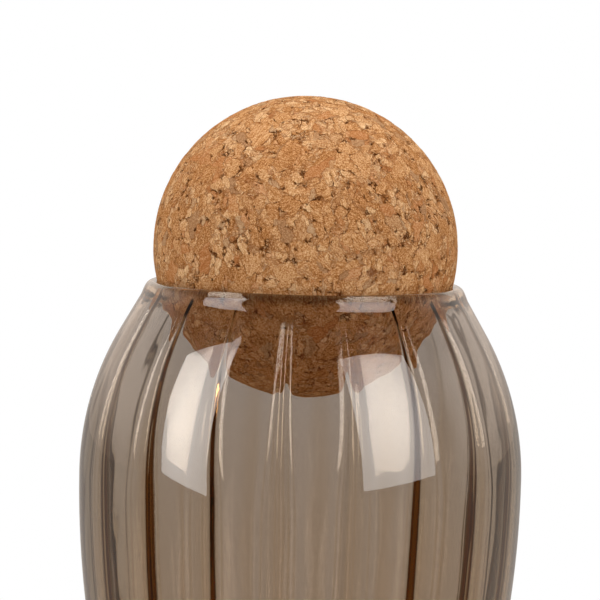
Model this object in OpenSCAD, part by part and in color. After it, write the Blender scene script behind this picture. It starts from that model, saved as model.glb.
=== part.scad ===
// A blown glass storage jar with fine ribs on its inside, closed by a loose cork ball.
// The origin is the middle of the standing ring, on the surface the jar stands on.

/* [Jar body] */
// Height of the jar, from the surface it stands on to the top of the lip
jar_h = 140; // [120:1:200]
// Widest outside diameter
belly_d = 116.6; // [108:0.2:130]
// Radius of the outer profile between the widest level and the straight shoulder
shoulder_r = 76; // [66:1:84]
// Lean of the straight shoulder below the lip, in degrees from upright
shoulder_lean = 30; // [26:1:34]
// Radius of the outer profile below the widest level
flank_r = 260; // [220:5:400]
// Radius of the outer rounding between the side and the underside
heel_r = 14; // [10:0.5:18]

/* [Glass] */
// Thickness of the wall between two ribs
wall = 2.5; // [1.8:0.1:3]
// Thickness of the floor at its outer edge
floor_t = 7; // [5:0.5:10]
// Radius of the inside rounding between the side and the floor
inner_heel_r = 12; // [8:0.5:16]
// Height of the shallow push-up under the floor
push_up_h = 2; // [1:0.25:3]
// Width of the flat ring that the jar stands on
foot_ring_w = 3.5; // [2:0.5:8]

/* [Mouth] */
// Clear diameter of the mouth, inside the rounded lip
mouth_d = 77.7; // [68:0.1:88]

/* [Ribs] */
// Number of ribs round the inside
rib_count = 18; // [12:1:18]
// How far a rib stands in from the wall
rib_h = 2; // [1:0.1:2.5]
// Radius of a rib's rounded crest
rib_r = 6; // [4:0.25:6.5]
// Distance from the top of the lip to the end of the ribs
rib_top_drop = 4; // [3:0.5:10]
// Length of the run-out at that end for each millimetre that a rib stands in
rib_taper = 2.5; // [1:0.25:4]

/* [Cork ball] */
// How much wider the ball is than the mouth
ball_oversize = 2.3; // [1.5:0.1:12]
// Clearance between the ball and the lip
seat_gap = 0.2; // [0.1:0.05:0.4]

/* [Hidden] */
$fn = 96;

belly_r = belly_d / 2;
lip_r = wall / 2;
// Ring on which the middle of the rounded lip lies
lip_ring_r = mouth_d / 2 + lip_r;
lip_z = jar_h - lip_r;

// The shoulder's straight run, from the end of the arc up to the lip
arc_end_r = belly_r - shoulder_r * (1 - cos(shoulder_lean));
lip_outer_r = lip_ring_r + lip_r * cos(shoulder_lean);
lip_outer_z = lip_z + lip_r * sin(shoulder_lean);
straight_l = (arc_end_r - lip_outer_r) / sin(shoulder_lean);
arc_end_z = lip_outer_z - straight_l * cos(shoulder_lean);
belly_z = arc_end_z - shoulder_r * sin(shoulder_lean);

// Distances of the centres of the profile's two large arcs from the axis
shoulder_c = belly_r - shoulder_r;
flank_c = belly_r - flank_r;

// The ribs end where this level meets them
rib_top_z = jar_h - rib_top_drop;
// How far the middle of a rib's round section lies outside the inner wall
rib_offset = rib_r - rib_h;

// The ball rests on the rounded lip, one clearance away
ball_r = (mouth_d + ball_oversize) / 2;
seat_reach = ball_r + lip_r + seat_gap;
ball_z = lip_z + sqrt(seat_reach * seat_reach - lip_ring_r * lip_ring_r);

// Reach of helper shapes past what they cut
spare = 20;
// Straight steps that stand for the profile's arcs, within 0.1 mm
heel_steps = 8;
flank_steps = 6;
shoulder_steps = 8;

// Middle of the rounding that touches the flank, drawn in by t, and a floor at z = low
function heel_c(t, r, low) =
    flank_c + sqrt(pow(flank_r - t - r, 2) - pow(belly_z - low - r, 2));

// Points on the circle round [x, z] from angle a0, which is left out, to angle a1
function arc_points(x, z, r, a0, a1, steps) = [
    for (i = [1 : steps])
        let (a = a0 + (a1 - a0) * i / steps)
            [x + r * cos(a), z + r * sin(a)]
];

// Half section of everything inside the outer surface drawn in by t, above z = low,
// with a rounding of radius r between the side and the bottom
module filled_section(t, r, low) {
    hc = heel_c(t, r, low);
    low_angle = asin((low + r - belly_z) / (flank_r - t - r));
    side = concat(
        arc_points(hc, low + r, r, -90, low_angle, heel_steps),
        arc_points(flank_c, belly_z, flank_r - t, low_angle, 0, flank_steps),
        arc_points(shoulder_c, belly_z, shoulder_r - t, 0, shoulder_lean, shoulder_steps)
    );
    run = (straight_l + spare) * [-sin(shoulder_lean), cos(shoulder_lean)];
    end = side[len(side) - 1] + run;
    polygon(concat([[0, low], [hc, low]], side, [end, [0, end[1]]]));
}

// Half plane on the jar's side of a line square to the shoulder through the lip's middle
module below_lip() {
    translate([lip_ring_r, lip_z])
        rotate(shoulder_lean)
            translate([-2 * jar_h, -2 * jar_h])
                square([4 * jar_h, 2 * jar_h]);
}

// Half section of the wall and floor
module wall_section() {
    intersection() {
        difference() {
            filled_section(0, heel_r, 0);
            filled_section(wall, inner_heel_r, floor_t);
        }
        below_lip();
    }
    difference() {
        translate([lip_ring_r, lip_z])
            circle(r = lip_r);
        below_lip();
    }
}

// One rib, as a round bar that follows the wall from the floor to the lip
module rib_bar() {
    section_at = belly_r - wall + rib_offset;
    low_angle = asin((belly_z - floor_t / 2) / (section_at - flank_c));
    translate([flank_c, 0, belly_z])
        rotate([90, 0, 0])
            rotate_extrude(angle = low_angle, start = -low_angle)
                translate([section_at - flank_c, 0])
                    circle(r = rib_r);
    translate([shoulder_c, 0, belly_z])
        rotate([90, 0, 0])
            rotate_extrude(angle = shoulder_lean, start = 0)
                translate([section_at - shoulder_c, 0])
                    circle(r = rib_r);
    translate([shoulder_c, 0, belly_z])
        rotate([0, -shoulder_lean, 0])
            translate([section_at - shoulder_c, 0, 0])
                cylinder(r = rib_r, h = straight_l);
}

// Room for the ribs: inside the middle of the wall, and below their sloping run-out
module rib_room() {
    rotate_extrude()
        intersection() {
            filled_section(wall / 2, inner_heel_r, floor_t / 2);
            polygon([
                [0, 0],
                [belly_r, 0],
                [belly_r, rib_top_z + (belly_r - lip_ring_r) * rib_taper],
                [0, rib_top_z - lip_ring_r * rib_taper]
            ]);
        }
}

module glass_jar() {
    push_up_chord = heel_c(0, heel_r, 0) - foot_ring_w;
    push_up_r = (pow(push_up_chord, 2) + pow(push_up_h, 2)) / (2 * push_up_h);
    color([0.55, 0.46, 0.38, 0.55])
        difference() {
            union() {
                rotate_extrude()
                    wall_section();
                intersection() {
                    rib_room();
                    for (i = [0 : rib_count - 1])
                        rotate([0, 0, i * 360 / rib_count])
                            rib_bar();
                }
            }
            translate([0, 0, push_up_h - push_up_r])
                sphere(r = push_up_r);
        }
}

module cork_ball() {
    color([0.74, 0.53, 0.33])
        translate([0, 0, ball_z])
            sphere(r = ball_r);
}

glass_jar();
cork_ball();
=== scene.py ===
"""A smoky glass storage jar, ribbed inside, with a loose cork ball as its lid."""

import math

import bpy
import numpy as np
from mathutils import Matrix, Quaternion, Vector


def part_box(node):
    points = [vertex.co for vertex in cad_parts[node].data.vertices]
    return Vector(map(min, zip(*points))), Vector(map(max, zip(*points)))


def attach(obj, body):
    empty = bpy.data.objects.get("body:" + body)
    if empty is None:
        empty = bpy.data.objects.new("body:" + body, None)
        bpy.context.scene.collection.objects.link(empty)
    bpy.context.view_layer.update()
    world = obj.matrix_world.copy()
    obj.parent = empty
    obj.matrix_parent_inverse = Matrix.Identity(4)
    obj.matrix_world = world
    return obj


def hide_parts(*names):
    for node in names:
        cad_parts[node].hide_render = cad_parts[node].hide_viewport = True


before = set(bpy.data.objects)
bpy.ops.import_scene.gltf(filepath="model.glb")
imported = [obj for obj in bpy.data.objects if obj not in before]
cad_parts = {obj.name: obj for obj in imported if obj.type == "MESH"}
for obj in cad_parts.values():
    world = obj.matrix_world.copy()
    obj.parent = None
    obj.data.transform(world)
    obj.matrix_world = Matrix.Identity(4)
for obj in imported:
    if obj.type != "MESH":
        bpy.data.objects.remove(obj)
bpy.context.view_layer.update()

# Lengths are in millimetres up to the point where a mesh, light or camera is made
MM = 0.001
scene = bpy.context.scene

glass_low, glass_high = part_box("glass_jar")
ball_low, ball_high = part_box("cork_ball")
JAR_H = glass_high.z / MM
BELLY_R = glass_high.x / MM
BALL_R = (ball_high.z - ball_low.z) / MM / 2
BALL_Z = (ball_high.z + ball_low.z) / MM / 2

# The jar's profile
SHOULDER_R = 76.0
SHOULDER_LEAN = math.radians(30)
FLANK_R = 260.0
HEEL_R = 14.0
WALL = 2.5
FLOOR_T = 7.0
FLOOR_RISE = 0.5
INNER_HEEL_R = 12.0
PUSH_UP_H = 2.0
FOOT_RING_W = 3.5
MOUTH_R = 77.7 / 2

# The wall is thinner below the lip's bead, and thickens towards the floor
THIN_WALL = 1.7
THIN_Z = 130.0
THICKENING = 0.032
THICK_WALL = 3.7
BEAD_DEPTH = 7.0

# The lip's rounding: how far it reaches across the wall and up it, outside and inside
LIP_OUT = (1.45, 2.2)
LIP_IN = (0.72, 1.5)
LIP_IN_POWER = 3.5
LIP_BULGE = 0.32
LIP_BULGE_L = 3.2

# The ribs on its inside: they start below the lip, and grow taller and broader further down
RIBS = 18
RIB_H = 1.85
RIB_POWER = 4.0
RIB_POWER_HIGH = 22.0
RIB_START = 1.0
RIB_END_L = 4.0
RIB_SHARE_HIGH = 0.3
RIB_GROWTH = 60.0
COLUMNS = RIBS * 24

# Waves in the inside: how many go round, the height from one to the next, and where they start
WAVE_H = 0.04
WAVES = [(7, 60.0, 0.4), (-15, 45.0, 1.9), (23, -38.0, 3.1), (-34, 30.0, 5.2), (47, 24.0, 2.2), (-61, -27.0, 0.9)]

# The camera stands where the photograph was taken from, the ribs' phase included
CAMERA_TURN = math.radians(-4.3)
CAMERA_UP = math.radians(4.0)
CAMERA_ROLL = math.radians(1.35)
CAMERA_DISTANCE = 1250.0
FRAME_PX = 600
MM_PER_PX = 40 / 152
BALL_PX = (305.6, 248.0)
SENSOR = 36.0


def smooth(t):
    """0 to 1 with soft ends."""
    t = np.clip(t, 0, 1)
    return t * t * (3 - 2 * t)


def soft_min(a, b, blend):
    """The lesser of a and b, rounded over where they are within blend of each other."""
    h = np.clip(0.5 + 0.5 * (b - a) / blend, 0, 1)
    return b + (a - b) * h - blend * h * (1 - h)


def arc(cx, cz, radius, start, end, steps):
    """Profile points with outward normals along a circle, its first point left out."""
    angles = start + (end - start) * np.arange(1, steps + 1) / steps
    return [
        (cx + radius * math.cos(a), cz + radius * math.sin(a), math.cos(a), math.sin(a))
        for a in angles
    ]


def heel_centre(inset, radius, low):
    """Distance from the axis of the rounding between the flank and a flat bottom."""
    return flank_c + math.sqrt((FLANK_R - inset - radius) ** 2 - (belly_z - low - radius) ** 2)


lip_r = WALL / 2
lip_ring_r = MOUTH_R + lip_r
lip_z = JAR_H - lip_r
lip_outer_r = lip_ring_r + lip_r * math.cos(SHOULDER_LEAN)
lip_outer_z = lip_z + lip_r * math.sin(SHOULDER_LEAN)
arc_end_r = BELLY_R - SHOULDER_R * (1 - math.cos(SHOULDER_LEAN))
straight_l = (arc_end_r - lip_outer_r) / math.sin(SHOULDER_LEAN)
arc_end_z = lip_outer_z - straight_l * math.cos(SHOULDER_LEAN)
belly_z = arc_end_z - SHOULDER_R * math.sin(SHOULDER_LEAN)
shoulder_c = BELLY_R - SHOULDER_R
flank_c = BELLY_R - FLANK_R


def wall_at(z, from_lip):
    """Thickness of the wall between two ribs."""
    lip_t = LIP_OUT[0] + LIP_IN[0]
    thickness = soft_min(THIN_WALL + THICKENING * (THIN_Z - z), THICK_WALL, 0.6)
    return lip_t + (thickness - lip_t) * smooth((from_lip - LIP_IN[1]) / BEAD_DEPTH)


def bulge_at(from_lip):
    """How far the outside stands proud of the shoulder, just below the lip's rounding."""
    return LIP_BULGE * (1 - smooth((from_lip - LIP_OUT[1]) / LIP_BULGE_L))


def rib_at(turn, from_lip):
    """How far the inside stands in from the wall, all round, at a distance below the top of the lip."""
    grown = smooth((from_lip - RIB_START) / RIB_GROWTH)
    power = RIB_POWER_HIGH + (RIB_POWER - RIB_POWER_HIGH) * grown
    height = RIB_H * (RIB_SHARE_HIGH + (1 - RIB_SHARE_HIGH) * grown)
    height *= smooth((from_lip - RIB_START) / RIB_END_L)
    return height * ((1 + np.cos(RIBS * turn)) / 2) ** power


def waves_at(turn, from_lip):
    """Unevenness of the inside, as the mould and the blowing leave it."""
    total = np.zeros_like(turn)
    for around, pitch, phase in WAVES:
        total += np.sin(around * turn + 2 * math.pi * from_lip / pitch + phase)
    return WAVE_H * total / len(WAVES) * smooth((from_lip - RIB_START) / RIB_END_L)


def jar_rows():
    """Rings of the jar's surface as (radius, height) pairs, from under its middle, outside, to its floor."""
    turn = np.arange(COLUMNS) / COLUMNS * 2 * math.pi
    flat = np.ones(COLUMNS)
    rows = []

    heel_c = heel_centre(0, HEEL_R, 0)
    low_angle = math.asin((HEEL_R - belly_z) / (FLANK_R - HEEL_R))
    chord = heel_c - FOOT_RING_W
    push_up_r = (chord**2 + PUSH_UP_H**2) / (2 * PUSH_UP_H)
    for r in np.linspace(0, chord, 14)[1:]:
        rows.append((r * flat, (PUSH_UP_H - push_up_r + math.sqrt(push_up_r**2 - r**2)) * flat))
    rows.append(((heel_c - FOOT_RING_W / 2) * flat, 0 * flat))
    rows.append((heel_c * flat, 0 * flat))

    heel = arc(heel_c, HEEL_R, HEEL_R, -math.pi / 2, low_angle, 14)
    flank = arc(flank_c, belly_z, FLANK_R, low_angle, 0, 22)
    shoulder = arc(shoulder_c, belly_z, SHOULDER_R, 0, SHOULDER_LEAN, 26)
    side = flank + shoulder

    # Along the shoulder's straight run, the wall is measured from the top of the lip
    nr, nz = math.cos(SHOULDER_LEAN), math.sin(SHOULDER_LEAN)
    out_across, out_up = LIP_OUT
    in_across, in_up = LIP_IN
    crown = math.hypot((out_across + LIP_BULGE) * nz, out_up * nr) - out_up * nr
    line_top = (JAR_H - crown - arc_end_z + nz * out_across) / nr
    for t in np.linspace(0, line_top - out_up, 24)[1:]:
        side.append((arc_end_r - nz * t, arc_end_z + nr * t, nr, nz))
    steps = [math.dist(a[:2], b[:2]) for a, b in zip(side[:-1], side[1:])]
    from_lip = np.r_[np.cumsum(steps[::-1])[::-1], 0] + out_up
    for r, z, _, _ in heel:
        rows.append((r * flat, z * flat))
    for (r, z, nr, nz), d in zip(side, from_lip):
        proud = bulge_at(d)
        rows.append(((r + nr * proud) * flat, (z + nz * proud) * flat))

    # The rounded lip: a quarter of one ellipse outside, and of a longer one inside
    apex_r = arc_end_r - nz * line_top - nr * out_across
    apex_z = arc_end_z + nr * line_top - nz * out_across
    for a in np.linspace(0, math.pi / 2, 9)[1:]:
        across = (out_across + LIP_BULGE) * math.cos(a)
        down = out_up * (1 - math.sin(a))
        rows.append(((apex_r + nr * across + nz * down) * flat, (apex_z + nz * across - nr * down) * flat))
    for a in np.linspace(math.pi / 2, 0, 19)[1:]:
        down = in_up * (1 - math.sin(a) ** (2 / LIP_IN_POWER))
        across = in_across * abs(math.cos(a)) ** (2 / LIP_IN_POWER) + rib_at(turn, down)
        rows.append((apex_r - nr * across + nz * down, apex_z - nz * across - nr * down))

    # The inside, down to where the rounded heel starts
    inner_c = heel_centre(THICK_WALL, INNER_HEEL_R, FLOOR_T)
    inner_low = math.asin((FLOOR_T + INNER_HEEL_R - belly_z) / (FLANK_R - THICK_WALL - INNER_HEEL_R))
    heel_top = belly_z + (FLANK_R - THICK_WALL) * math.sin(inner_low)
    for (r, z, nr, nz), d in zip(side[::-1], from_lip[::-1]):
        if d < in_up + 0.4:
            continue
        if z < heel_top + 2:
            break
        depth = wall_at(z, d) + rib_at(turn, d) + waves_at(turn, d)
        rows.append((r - nr * depth, z - nz * depth))

    # The ribs run out where the rounded heel comes in over them
    full_rib = rib_at(turn, JAR_H)
    for r, z, _, _ in arc(inner_c, FLOOR_T + INNER_HEEL_R, INNER_HEEL_R, inner_low, -math.pi / 2, 18):
        at_rib = flank_c + np.sqrt((FLANK_R - THICK_WALL - full_rib) ** 2 - (belly_z - z) ** 2)
        rows.append((np.minimum(r, soft_min(r * flat, at_rib, 0.8)), z * flat))
    for t in np.linspace(1, 0, 12)[1:-1]:
        rows.append((inner_c * t * flat, (FLOOR_T + FLOOR_RISE * (1 - t * t)) * flat))
    return rows, turn


def make_jar():
    """One closed mesh of the whole jar."""
    rows, turn = jar_rows()
    count = len(turn)
    points = [(0, 0, PUSH_UP_H)]
    for r, z in rows:
        points.extend(zip(r * np.cos(turn), r * np.sin(turn), z))
    points.append((0, 0, FLOOR_T + FLOOR_RISE))
    faces = []
    for j in range(count):
        nxt = (j + 1) % count
        faces.append((0, 1 + nxt, 1 + j))
    for i in range(len(rows) - 1):
        low, high = 1 + i * count, 1 + (i + 1) * count
        for j in range(count):
            nxt = (j + 1) % count
            faces.append((low + j, low + nxt, high + nxt, high + j))
    last = 1 + (len(rows) - 1) * count
    for j in range(count):
        nxt = (j + 1) % count
        faces.append((last + j, last + nxt, len(points) - 1))
    return new_piece("smoky_glass_jar", np.array(points) * MM, faces)


def new_piece(name, points, faces):
    """A smooth-shaded mesh object at the origin."""
    mesh = bpy.data.meshes.new(name)
    mesh.from_pydata([tuple(p) for p in points], [], faces)
    mesh.validate()
    mesh.shade_smooth()
    piece = bpy.data.objects.new(name, mesh)
    scene.collection.objects.link(piece)
    return piece


BALL_GRID = 126


def make_ball():
    """A ball of even quads: the six sides of a cube blown up to a sphere."""
    t = np.tan(np.linspace(-math.pi / 4, math.pi / 4, BALL_GRID + 1))
    u, v = np.meshgrid(t, t, indexing="ij")
    one = np.ones_like(u)
    sides = [
        np.stack(s, axis=-1)
        for s in ((one, u, v), (-one, v, u), (v, one, u), (u, -one, v), (u, v, one), (v, u, -one))
    ]
    cloud = np.concatenate([s.reshape(-1, 3) for s in sides])
    cloud /= np.linalg.norm(cloud, axis=1)[:, None]
    _, first, index = np.unique(np.round(cloud, 7), axis=0, return_index=True, return_inverse=True)
    index = index.reshape(-1)
    points = cloud[first] * BALL_R + np.array([0, 0, BALL_Z])
    faces = []
    side_points = (BALL_GRID + 1) ** 2
    for s in range(6):
        for i in range(BALL_GRID):
            row = s * side_points + i * (BALL_GRID + 1)
            for j in range(BALL_GRID):
                a = row + j
                b = a + BALL_GRID + 1
                faces.append((index[a], index[b], index[b + 1], index[a + 1]))
    return new_piece("cork_ball_lid", points * MM, faces)


class Graph:
    """Short calls for building the same node graph in a shader or in geometry nodes."""

    def __init__(self, tree):
        self.tree = tree

    def put(self, socket, value):
        if isinstance(value, bpy.types.NodeSocket):
            self.tree.links.new(value, socket)
        elif value is not None:
            socket.default_value = value

    def node(self, kind, *values, **settings):
        made = self.tree.nodes.new(kind)
        for key, value in settings.items():
            setattr(made, key, value)
        for socket, value in zip(made.inputs, values):
            self.put(socket, value)
        return made

    def math(self, operation, *values, clamp=False):
        return self.node("ShaderNodeMath", *values, operation=operation, use_clamp=clamp).outputs[0]

    def vector(self, operation, *values):
        return self.node("ShaderNodeVectorMath", *values, operation=operation).outputs[0]

    def dot(self, a, b):
        return self.node("ShaderNodeVectorMath", a, b, operation="DOT_PRODUCT").outputs["Value"]

    def scaled(self, a, factor):
        made = self.node("ShaderNodeVectorMath", a, operation="SCALE")
        self.put(made.inputs["Scale"], factor)
        return made.outputs[0]

    def ramp(self, value, low, high, to_low=0.0, to_high=1.0):
        """value from low..high to to_low..to_high with soft ends."""
        made = self.node("ShaderNodeMapRange", interpolation_type="SMOOTHSTEP")
        for name, number in (
            ("Value", value),
            ("From Min", low),
            ("From Max", high),
            ("To Min", to_low),
            ("To Max", to_high),
        ):
            self.put(made.inputs[name], number)
        return made.outputs[0]

    def mix(self, factor, a, b):
        made = self.node("ShaderNodeMix", data_type="FLOAT")
        self.put(made.inputs[0], factor)
        self.put(made.inputs[2], a)
        self.put(made.inputs[3], b)
        return made.outputs[0]

    def blend(self, factor, a, b, kind="MIX"):
        made = self.node("ShaderNodeMix", data_type="RGBA", blend_type=kind)
        self.put(made.inputs[0], factor)
        self.put(made.inputs[6], a)
        self.put(made.inputs[7], b)
        return made.outputs[2]

    def noise(self, place, scale, detail=2.0, rough=0.5):
        made = self.node("ShaderNodeTexNoise", noise_dimensions="3D")
        self.put(made.inputs["Vector"], place)
        self.put(made.inputs["Scale"], scale)
        self.put(made.inputs["Detail"], detail)
        self.put(made.inputs["Roughness"], rough)
        return made

    def cells(self, place, scale, feature="F1", randomness=1.0):
        made = self.node("ShaderNodeTexVoronoi", voronoi_dimensions="3D", feature=feature)
        self.put(made.inputs["Vector"], place)
        self.put(made.inputs["Scale"], scale)
        self.put(made.inputs["Randomness"], randomness)
        return made

    def parts(self, colour):
        return self.node("ShaderNodeSeparateXYZ", colour).outputs


# Sizes of the cork's granules
BIG_CHIP = 4.0
MID_CHIP = 2.1
SMALL_CHIP = 0.9
# Painted shade: the cork is painted darker in a ring where the ball sits in the mouth, for the shade in the narrow gap
# between cork and glass; the ring lies at this height from the ball's middle
SEAT_Z = -10.8
SEAT_PAINTED_SHADE = 0.5


def cork_fields(g, place):
    """What the cork is like at a place on the ball, in millimetres: the same for its colour and its relief."""
    f = {}

    # Ragged outlines: places are shifted a little before the granules are laid out
    wide = g.vector("SUBTRACT", g.noise(place, 0.35, 2.0).outputs["Color"], (0.5, 0.5, 0.5))
    fine = g.vector("SUBTRACT", g.noise(place, 1.5, 2.0).outputs["Color"], (0.5, 0.5, 0.5))
    bent = g.vector("ADD", place, g.scaled(wide, 3.2))
    bent = g.vector("ADD", bent, g.scaled(fine, 0.8))

    # Chips lie in bands with their long side along one of three directions
    region = g.parts(g.cells(bent, 1 / 10.0).outputs["Color"])
    along = g.node("ShaderNodeCombineXYZ")
    g.put(along.inputs[0], g.math("MULTIPLY_ADD", region[0], 2.0, -1.0))
    g.put(along.inputs[1], g.math("MULTIPLY_ADD", region[1], 2.0, -1.0))
    g.put(along.inputs[2], g.math("MULTIPLY_ADD", region[2], 1.2, 0.2))
    along = g.vector("NORMALIZE", along.outputs[0])
    lengthwise = g.dot(bent, along)
    squeezed = g.vector("SUBTRACT", bent, g.scaled(along, g.math("MULTIPLY", lengthwise, 0.6)))

    big = g.cells(squeezed, 1 / BIG_CHIP)
    big_edge = g.cells(squeezed, 1 / BIG_CHIP, "DISTANCE_TO_EDGE").outputs["Distance"]
    mid = g.cells(squeezed, 1 / MID_CHIP)
    mid_edge = g.cells(squeezed, 1 / MID_CHIP, "DISTANCE_TO_EDGE").outputs["Distance"]
    small = g.cells(bent, 1 / SMALL_CHIP)
    small_edge = g.cells(bent, 1 / SMALL_CHIP, "DISTANCE_TO_EDGE").outputs["Distance"]
    big_r = g.parts(big.outputs["Color"])
    mid_r = g.parts(mid.outputs["Color"])

    split = g.math("GREATER_THAN", big_r[0], 0.42)
    crumb = g.math("MULTIPLY", split, g.math("GREATER_THAN", mid_r[0], 0.86))
    colour = g.blend(split, big.outputs["Color"], mid.outputs["Color"])
    colour = g.blend(crumb, colour, small.outputs["Color"])
    rand = g.parts(colour)

    # Distance to the nearest seam, in millimetres
    far = 9.0
    edge = g.math("MULTIPLY", big_edge, BIG_CHIP)
    edge_mid = g.mix(split, far, g.math("MULTIPLY", mid_edge, MID_CHIP))
    edge_small = g.mix(crumb, far, g.math("MULTIPLY", small_edge, SMALL_CHIP))
    edge = g.math("MINIMUM", edge, g.math("MINIMUM", edge_mid, edge_small))
    f["edge"] = edge

    # Each granule's cut face is tilted a little its own way
    at = g.vector("SUBTRACT", squeezed, g.blend(split, big.outputs["Position"], mid.outputs["Position"]))
    at = g.blend(crumb, at, g.vector("SUBTRACT", bent, small.outputs["Position"]))
    tilt = g.dot(at, g.vector("SUBTRACT", colour, (0.5, 0.5, 0.5)))

    # Fibres: each granule has its own direction, and noise is drawn out along it
    fibre = g.vector("NORMALIZE", g.vector("SUBTRACT", colour, (0.5, 0.5, 0.5)))
    drawn = g.vector("SUBTRACT", place, g.scaled(fibre, g.math("MULTIPLY", g.dot(place, fibre), 0.86)))
    streak = g.noise(drawn, 2.4, 4.0, 0.7).outputs["Fac"]
    f["streak"] = g.ramp(streak, 0.28, 0.72)
    f["grain"] = g.ramp(g.noise(place, 3.1, 3.0, 0.85).outputs["Fac"], 0.32, 0.68)
    f["patch"] = g.noise(place, 0.09, 2.0, 0.5).outputs["Fac"]

    # Seams open up here and there into dark crevices
    gate = g.noise(place, 0.42, 2.0, 0.6).outputs["Fac"]
    width = g.ramp(gate, 0.52, 0.76, 0.03, 0.27)
    f["crevice"] = g.math("SUBTRACT", 1.0, g.ramp(edge, 0.0, width))
    f["crevice"] = g.math("MULTIPLY", f["crevice"], g.ramp(gate, 0.53, 0.66))
    f["seam"] = g.math("SUBTRACT", 1.0, g.ramp(edge, 0.03, 0.2))
    f["seam"] = g.math("MULTIPLY", f["seam"], g.ramp(gate, 0.30, 0.60, 0.35, 1.0))

    pit = g.cells(g.vector("ADD", place, g.scaled(fine, 0.8)), 1 / 2.6)
    pit_r = g.parts(pit.outputs["Color"])
    pit_size = g.ramp(pit_r[0], 0.62, 1.0, 0.0, 0.17)
    f["pit"] = g.math("SUBTRACT", 1.0, g.ramp(pit.outputs["Distance"], g.math("MULTIPLY", pit_size, 0.35), pit_size))
    f["pit"] = g.math("MULTIPLY", f["pit"], g.math("GREATER_THAN", pit_size, 0.02))

    lens = g.cells(g.vector("ADD", bent, (31.0, 7.0, 13.0)), 1 / 9.0)
    lens_r = g.parts(lens.outputs["Color"])
    lens_size = g.ramp(lens_r[0], 0.70, 1.0, 0.0, 0.20)
    f["lens"] = g.math("SUBTRACT", 1.0, g.ramp(lens.outputs["Distance"], g.math("MULTIPLY", lens_size, 0.5), lens_size))
    f["lens"] = g.math("MULTIPLY", f["lens"], g.math("GREATER_THAN", lens_size, 0.02))

    speck = g.cells(g.vector("ADD", bent, (5.0, 41.0, 3.0)), 1 / 3.1)
    speck_r = g.parts(speck.outputs["Color"])
    speck_size = g.ramp(speck_r[1], 0.78, 1.0, 0.0, 0.24)
    f["speck"] = g.math("SUBTRACT", 1.0, g.ramp(speck.outputs["Distance"], g.math("MULTIPLY", speck_size, 0.6), speck_size))
    f["speck"] = g.math("MULTIPLY", f["speck"], g.math("GREATER_THAN", speck_size, 0.02))

    f["tone"], f["hue"], f["level"] = rand[0], rand[1], rand[2]
    # Distance from the ring where painted shade darkens the cork
    f["seat"] = g.node("ShaderNodeMath", g.math("SUBTRACT", g.parts(place)[2], SEAT_Z), operation="ABSOLUTE").outputs[0]

    # Height of the surface, in millimetres
    height = g.math("MULTIPLY", f["crevice"], -0.40)
    height = g.math("MULTIPLY_ADD", f["pit"], -0.35, height)
    height = g.math("MULTIPLY_ADD", f["seam"], -0.07, height)
    height = g.math("MULTIPLY_ADD", f["level"], 0.10, height)
    height = g.math("MULTIPLY_ADD", f["lens"], -0.08, height)
    f["height"] = height
    fine_height = g.math("MULTIPLY_ADD", f["streak"], 0.08, height)
    fine_height = g.math("MULTIPLY_ADD", f["grain"], 0.07, fine_height)
    f["fine_height"] = g.math("MULTIPLY_ADD", tilt, 0.28, fine_height)
    return f


def on_ball(g, position):
    """The point of the smooth ball under a position, in millimetres from the ball's middle."""
    from_middle = g.vector("SUBTRACT", position, (0, 0, BALL_Z * MM))
    return g.scaled(g.vector("NORMALIZE", from_middle), BALL_R)


def add_relief(ball):
    """Moves the ball's surface by the cork's crevices, pits and steps between granules."""
    tree = bpy.data.node_groups.new("cork relief", "GeometryNodeTree")
    tree.interface.new_socket("Geometry", in_out="INPUT", socket_type="NodeSocketGeometry")
    tree.interface.new_socket("Geometry", in_out="OUTPUT", socket_type="NodeSocketGeometry")
    g = Graph(tree)
    start = g.node("NodeGroupInput")
    end = g.node("NodeGroupOutput")
    place = on_ball(g, g.node("GeometryNodeInputPosition").outputs[0])
    height = cork_fields(g, place)["height"]
    move = g.node("GeometryNodeSetPosition")
    g.put(move.inputs["Geometry"], start.outputs[0])
    g.put(move.inputs["Offset"], g.scaled(g.vector("NORMALIZE", place), g.math("MULTIPLY", height, MM)))
    g.put(end.inputs[0], move.outputs[0])
    modifier = ball.modifiers.new("relief", "NODES")
    modifier.node_group = tree
    graph = bpy.context.evaluated_depsgraph_get()
    shaped = bpy.data.meshes.new_from_object(ball.evaluated_get(graph))
    ball.modifiers.clear()
    ball.data = shaped
    shaped.shade_smooth()


def new_material(name):
    material = bpy.data.materials.new(name)
    material.use_nodes = True
    shader = material.node_tree.nodes["Principled BSDF"]
    return material, Graph(material.node_tree), shader


def linear(red, green, blue):
    """A colour given in display values from 0 to 255, as Blender takes it."""
    made = []
    for c in (red / 255, green / 255, blue / 255):
        made.append(c / 12.92 if c <= 0.04045 else ((c + 0.055) / 1.055) ** 2.4)
    return (*made, 1.0)


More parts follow.
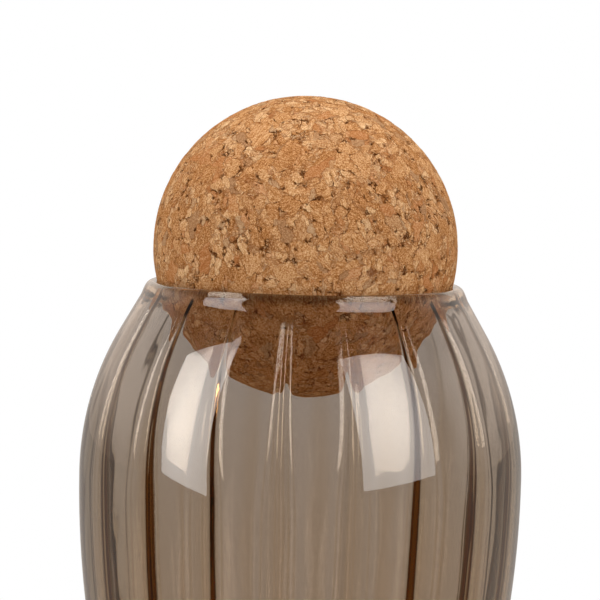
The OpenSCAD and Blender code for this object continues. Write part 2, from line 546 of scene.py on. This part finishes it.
def cork_material():
    material, g, shader = new_material("agglomerated_cork")
    place = on_ball(g, g.node("ShaderNodeTexCoord").outputs["Object"])
    f = cork_fields(g, place)

    tone = g.math("MULTIPLY_ADD", f["tone"], 0.38, -0.12)
    tone = g.math("MULTIPLY_ADD", f["streak"], 0.44, tone)
    tone = g.math("MULTIPLY_ADD", f["grain"], 0.50, tone)
    tone = g.math("MULTIPLY_ADD", f["patch"], 0.16, tone)
    ramp = g.node("ShaderNodeValToRGB")
    g.put(ramp.inputs[0], tone)
    stops = [
        (0.20, linear(132, 78, 36)),
        (0.40, linear(172, 115, 66)),
        (0.60, linear(197, 144, 95)),
        (0.80, linear(214, 172, 126)),
        (1.05, linear(228, 190, 146)),
    ]
    elements = ramp.color_ramp.elements
    elements[0].position, elements[0].color = stops[0][0] / 1.1, stops[0][1]
    elements[1].position, elements[1].color = stops[-1][0] / 1.1, stops[-1][1]
    for at, colour in stops[1:-1]:
        elements.new(at / 1.1).color = colour
    g.put(ramp.inputs[0], g.math("DIVIDE", tone, 1.1))
    colour = ramp.outputs[0]

    reddish = g.ramp(f["hue"], 0.80, 0.97, 0.0, 0.42)
    colour = g.blend(reddish, colour, linear(174, 104, 60))
    greyish = g.ramp(f["hue"], 0.18, 0.02, 0.0, 0.50)
    colour = g.blend(greyish, colour, linear(150, 118, 90))
    colour = g.blend(g.math("MULTIPLY", f["speck"], 0.6), colour, linear(216, 170, 122))
    colour = g.blend(g.math("MULTIPLY", f["lens"], 0.72), colour, linear(112, 66, 44))
    colour = g.blend(g.math("MULTIPLY", f["seam"], 0.62), colour, linear(124, 68, 28))
    colour = g.blend(g.math("MULTIPLY", f["crevice"], 0.9), colour, linear(90, 46, 18))
    colour = g.blend(g.math("MULTIPLY", f["pit"], 0.85), colour, linear(74, 36, 12))
    # Painted shade: darkens the cork's colour in a ring round where it sits, for the shade between cork and lip
    seat = g.math("MULTIPLY", g.math("SUBTRACT", 1.0, g.ramp(f["seat"], 0.2, 1.7)), SEAT_PAINTED_SHADE)
    colour = g.blend(seat, colour, linear(58, 32, 16))
    g.put(shader.inputs["Base Color"], colour)
    shader.inputs["Roughness"].default_value = 0.9
    shader.inputs["Specular IOR Level"].default_value = 0.0
    bump = g.node("ShaderNodeBump")
    bump.inputs["Strength"].default_value = 0.9
    bump.inputs["Distance"].default_value = MM
    g.put(bump.inputs["Height"], f["fine_height"])
    g.put(shader.inputs["Normal"], bump.outputs[0])
    return material


# The smoky tint is partly a stain on the glass and partly in its depth
GLASS_SURFACE = (0.58, 0.556, 0.56, 1)
GLASS_DEPTH = (0.74, 0.52, 0.15, 1)
GLASS_DENSITY = 120.0


def glass_material():
    material, g, shader = new_material("smoky_glass")
    shader.inputs["Base Color"].default_value = GLASS_SURFACE
    shader.inputs["Roughness"].default_value = 0.0
    shader.inputs["IOR"].default_value = 1.5
    shader.inputs["Transmission Weight"].default_value = 1.0
    tint = g.node("ShaderNodeVolumeAbsorption")
    tint.inputs["Color"].default_value = GLASS_DEPTH
    tint.inputs["Density"].default_value = GLASS_DENSITY
    out = material.node_tree.nodes["Material Output"]
    material.node_tree.links.new(tint.outputs[0], out.inputs["Volume"])
    return material


jar = make_jar()
jar.data.materials.append(glass_material())
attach(jar, "jar")
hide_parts("glass_jar")

ball = make_ball()
add_relief(ball)
ball.data.materials.clear()
ball.data.materials.append(cork_material())
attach(ball, "ball")
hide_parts("cork_ball")


# How bright the white surroundings are, seen through or past the jar, mirrored in it, and as light
MIRRORED_FRONT = 0.22
MIRRORED_TOP = 0.04
FRONT_COLOUR = (1.0, 0.55, 0.25, 1)
MIRRORED_BACK_LOW = 0.55
MIRRORED_BACK_HIGH = 1.0
MIRRORED_BACK_TOP = 0.15
BACK_COLOUR = (1.13, 0.99, 0.88, 1)
BEHIND = (-0.15, 0.25)
FLOOR_FRONT = (0.22, 0.12, 0.055, 1)
FLOOR_BACK = (0.45, 0.42, 0.39, 1)
LIGHT_LOW = 0.05
LIGHT_HIGH = 0.2
# The same for the cork inside the glass
LIGHT_INSIDE = (1.7, 1.95, 2.3, 1)
FLOOR_INSIDE = 0.5
LAMP_INSIDE = 2.9
# How much brighter the lamps show in the glass than they light the cork, in their hot spot and at their edge
GLOW_HOT = 2.1
GLOW_EDGE = 1.2
# Mirrored by the inside of the wall, where the glass also tints them, they show brighter still
INNER_GLOW = 2.5
# The upper end of the box hardly shows there: its share of the height, the fade and what is left
INNER_TOP = 0.89
INNER_FADE = 0.05
INNER_GLOW_ABOVE = 0.15
LEFT_POWER = 5.2
RIGHT_POWER = 5.3
TOP_POWER = 17.5


def turned(v):
    """A vector of the photograph's own frame, where the camera looks along +Y, turned into the jar's."""
    return Matrix.Rotation(CAMERA_TURN, 3, "Z") @ Vector(v)


def ray_kinds(g):
    """Tells the rays apart that come from the camera straight or through glass, those that glass has mirrored,
    and those by which a matt surface gathers its light through glass.
    """
    path = g.node("ShaderNodeLightPath").outputs
    through = g.math("MAXIMUM", path["Is Camera Ray"], path["Is Glossy Ray"])
    through = g.math("MAXIMUM", through, path["Is Transmission Ray"])
    direct = g.math("LESS_THAN", path["Diffuse Depth"], 0.5)
    seen = g.math("MULTIPLY", through, direct)
    mirrored = g.math("MULTIPLY", seen, g.math("GREATER_THAN", path["Glossy Depth"], 0.5))
    gathered = g.math("MULTIPLY", path["Is Transmission Ray"], g.math("SUBTRACT", 1.0, direct))
    return g.math("SUBTRACT", seen, mirrored), mirrored, gathered


def make_world():
    world = bpy.data.worlds.new("studio")
    scene.world = world
    world.use_nodes = True
    g = Graph(world.node_tree)
    through, mirrored, gathered = ray_kinds(g)
    ray = g.node("ShaderNodeTexCoord").outputs["Generated"]
    behind = g.ramp(g.dot(ray, turned((0, 1, 0))), BEHIND[0], BEHIND[1])
    height = g.parts(ray)[2]
    back = g.ramp(height, -0.02, 0.16, MIRRORED_BACK_LOW, MIRRORED_BACK_HIGH)
    back = g.math("MULTIPLY", back, g.ramp(height, 0.36, 0.60, 1.0, MIRRORED_BACK_TOP))
    front = g.ramp(height, 0.35, 0.65, MIRRORED_FRONT, MIRRORED_TOP)
    front_colour = g.blend(front, (0, 0, 0, 1), FRONT_COLOUR)
    back_colour = g.blend(back, (0, 0, 0, 1), BACK_COLOUR)
    shown = g.blend(behind, front_colour, back_colour)
    light = g.scaled((1, 1, 1), g.ramp(height, -0.3, 0.9, LIGHT_LOW, LIGHT_HIGH))
    lit = g.blend(gathered, light, LIGHT_INSIDE)
    colour = g.blend(through, g.blend(mirrored, lit, shown), (1, 1, 1, 1))
    g.put(world.node_tree.nodes["Background"].inputs["Color"], colour)


def make_floor():
    """A pale floor that keeps shadows near the jar and passes into the white background further out."""
    size = 3.0
    points = [(-size, -size, 0), (size, -size, 0), (size, size, 0), (-size, size, 0)]
    floor = new_piece("floor", points, [(0, 1, 2, 3)])
    material = bpy.data.materials.new("floor")
    material.use_nodes = True
    tree = material.node_tree
    g = Graph(tree)
    tree.nodes.remove(tree.nodes["Principled BSDF"])
    matt = g.node("ShaderNodeBsdfDiffuse")
    matt.inputs["Color"].default_value = (0.8, 0.8, 0.8, 1)
    white = g.node("ShaderNodeEmission")
    place = g.node("ShaderNodeTexCoord").outputs["Object"]
    away = g.node("ShaderNodeVectorMath", place, operation="LENGTH").outputs["Value"]
    through, mirrored, gathered = ray_kinds(g)
    seen = g.math("MAXIMUM", through, mirrored)
    blend = g.math("MAXIMUM", mirrored, g.math("MULTIPLY", through, g.ramp(away, 0.10, 0.30)))
    far_side = g.ramp(g.dot(place, turned((0, 1, 0))), -0.1, 0.1)
    shown = g.blend(far_side, FLOOR_FRONT, FLOOR_BACK)
    g.put(white.inputs["Color"], g.blend(mirrored, (1, 1, 1, 1), shown))
    mixed = g.node("ShaderNodeMixShader")
    g.put(mixed.inputs[0], blend)
    g.put(mixed.inputs[1], matt.outputs[0])
    g.put(mixed.inputs[2], white.outputs[0])
    lift = g.node("ShaderNodeEmission")
    lift.inputs["Color"].default_value = (1, 1, 1, 1)
    lift_seen = g.math("MULTIPLY", g.math("SUBTRACT", seen, blend), 0.30)
    g.put(lift.inputs["Strength"], g.math("MULTIPLY_ADD", gathered, FLOOR_INSIDE, lift_seen))
    both = g.node("ShaderNodeAddShader")
    g.put(both.inputs[0], mixed.outputs[0])
    g.put(both.inputs[1], lift.outputs[0])
    tree.links.new(both.outputs[0], tree.nodes["Material Output"].inputs["Surface"])
    floor.data.materials.append(material)


def make_softbox(name, middle, across, up, width, height, power, hot):
    """A rectangular lamp, brighter round a hot spot given as shares of its width and height."""
    lamp = bpy.data.lights.new(name, "AREA")
    lamp.shape = "RECTANGLE"
    lamp.size = width * MM
    lamp.size_y = height * MM
    lamp.energy = power
    lamp.use_nodes = True
    tree = lamp.node_tree
    g = Graph(tree)
    face = g.node("ShaderNodeNewGeometry").outputs["Parametric"]
    away = g.vector("SUBTRACT", face, (hot[0], hot[1], 0))
    distance = g.node("ShaderNodeVectorMath", away, operation="LENGTH").outputs["Value"]
    glow = g.ramp(distance, 0.0, 0.68, GLOW_HOT, GLOW_EDGE)
    # A lamp's own shader is only told how often a ray has bounced, and not what kind of ray it is
    path = g.node("ShaderNodeLightPath").outputs
    matt = g.math("GREATER_THAN", path["Diffuse Depth"], 0.5)
    mirrored = g.math("GREATER_THAN", path["Glossy Depth"], 0.5)
    inner = g.math("GREATER_THAN", path["Transmission Depth"], 0.5)
    inside = g.mix(inner, 1.0, LAMP_INSIDE)
    front_wall = g.math("MULTIPLY", inner, g.math("LESS_THAN", path["Transmission Depth"], 3.5))
    height_share = g.parts(face)["Y"]
    inner_glow = g.ramp(height_share, INNER_TOP - INNER_FADE, INNER_TOP, INNER_GLOW, INNER_GLOW_ABOVE)
    glow = g.math("MULTIPLY", glow, g.mix(front_wall, 1.0, inner_glow))
    g.put(tree.nodes["Emission"].inputs["Strength"], g.mix(matt, g.mix(mirrored, 1.0, glow), inside))
    holder = bpy.data.objects.new(name, lamp)
    scene.collection.objects.link(holder)
    x = turned(across).normalized()
    y = turned(up)
    y = (y - x * y.dot(x)).normalized()
    z = x.cross(y)
    place = turned(middle) * MM
    if z.dot(place - Vector((0, 0, 0.105))) < 0:
        x, z = -x, -z
    turn = Matrix((x, y, z)).transposed()
    holder.matrix_world = Matrix.Translation(place) @ turn.to_4x4()
    return holder


def make_lights():
    make_softbox("left box", (-780, -338, 400), (0.917, -0.377, -0.130), (0.241, 0.263, 0.934), 610, 772, LEFT_POWER, (0.5, 0.4))
    make_softbox("right box", (663, -478, 481), (0.861, 0.501, 0.081), (-0.132, 0.067, 0.989), 694, 813, RIGHT_POWER, (0.4, 0.43))
    top = bpy.data.lights.new("top box", "AREA")
    top.shape = "SQUARE"
    top.size = 0.9
    top.energy = TOP_POWER
    holder = bpy.data.objects.new("top box", top)
    scene.collection.objects.link(holder)
    holder.location = (0, 0.15, 1.3)
    holder.visible_glossy = False
    holder.visible_transmission = False


def make_camera():
    camera = bpy.data.cameras.new("camera")
    camera.sensor_width = SENSOR
    camera.lens = CAMERA_DISTANCE / MM_PER_PX / FRAME_PX * SENSOR
    camera.shift_x = -(BALL_PX[0] / FRAME_PX - 0.5)
    camera.shift_y = BALL_PX[1] / FRAME_PX - 0.5
    camera.clip_start = 0.01
    camera.clip_end = 50
    holder = bpy.data.objects.new("camera", camera)
    scene.collection.objects.link(holder)
    view = turned((0, math.cos(CAMERA_UP), -math.sin(CAMERA_UP)))
    holder.location = (Vector((0, 0, BALL_Z)) - view * CAMERA_DISTANCE) * MM
    holder.rotation_mode = "QUATERNION"
    holder.rotation_quaternion = Quaternion(view, -CAMERA_ROLL) @ view.to_track_quat("-Z", "Y")
    scene.camera = holder


make_world()
make_floor()
make_lights()
make_camera()
scene.view_settings.view_transform = "Standard"
scene.cycles.max_bounces = 64
scene.cycles.transmission_bounces = 32
scene.cycles.glossy_bounces = 64
scene.cycles.sample_clamp_indirect = 40

bpy.context.view_layer.update()
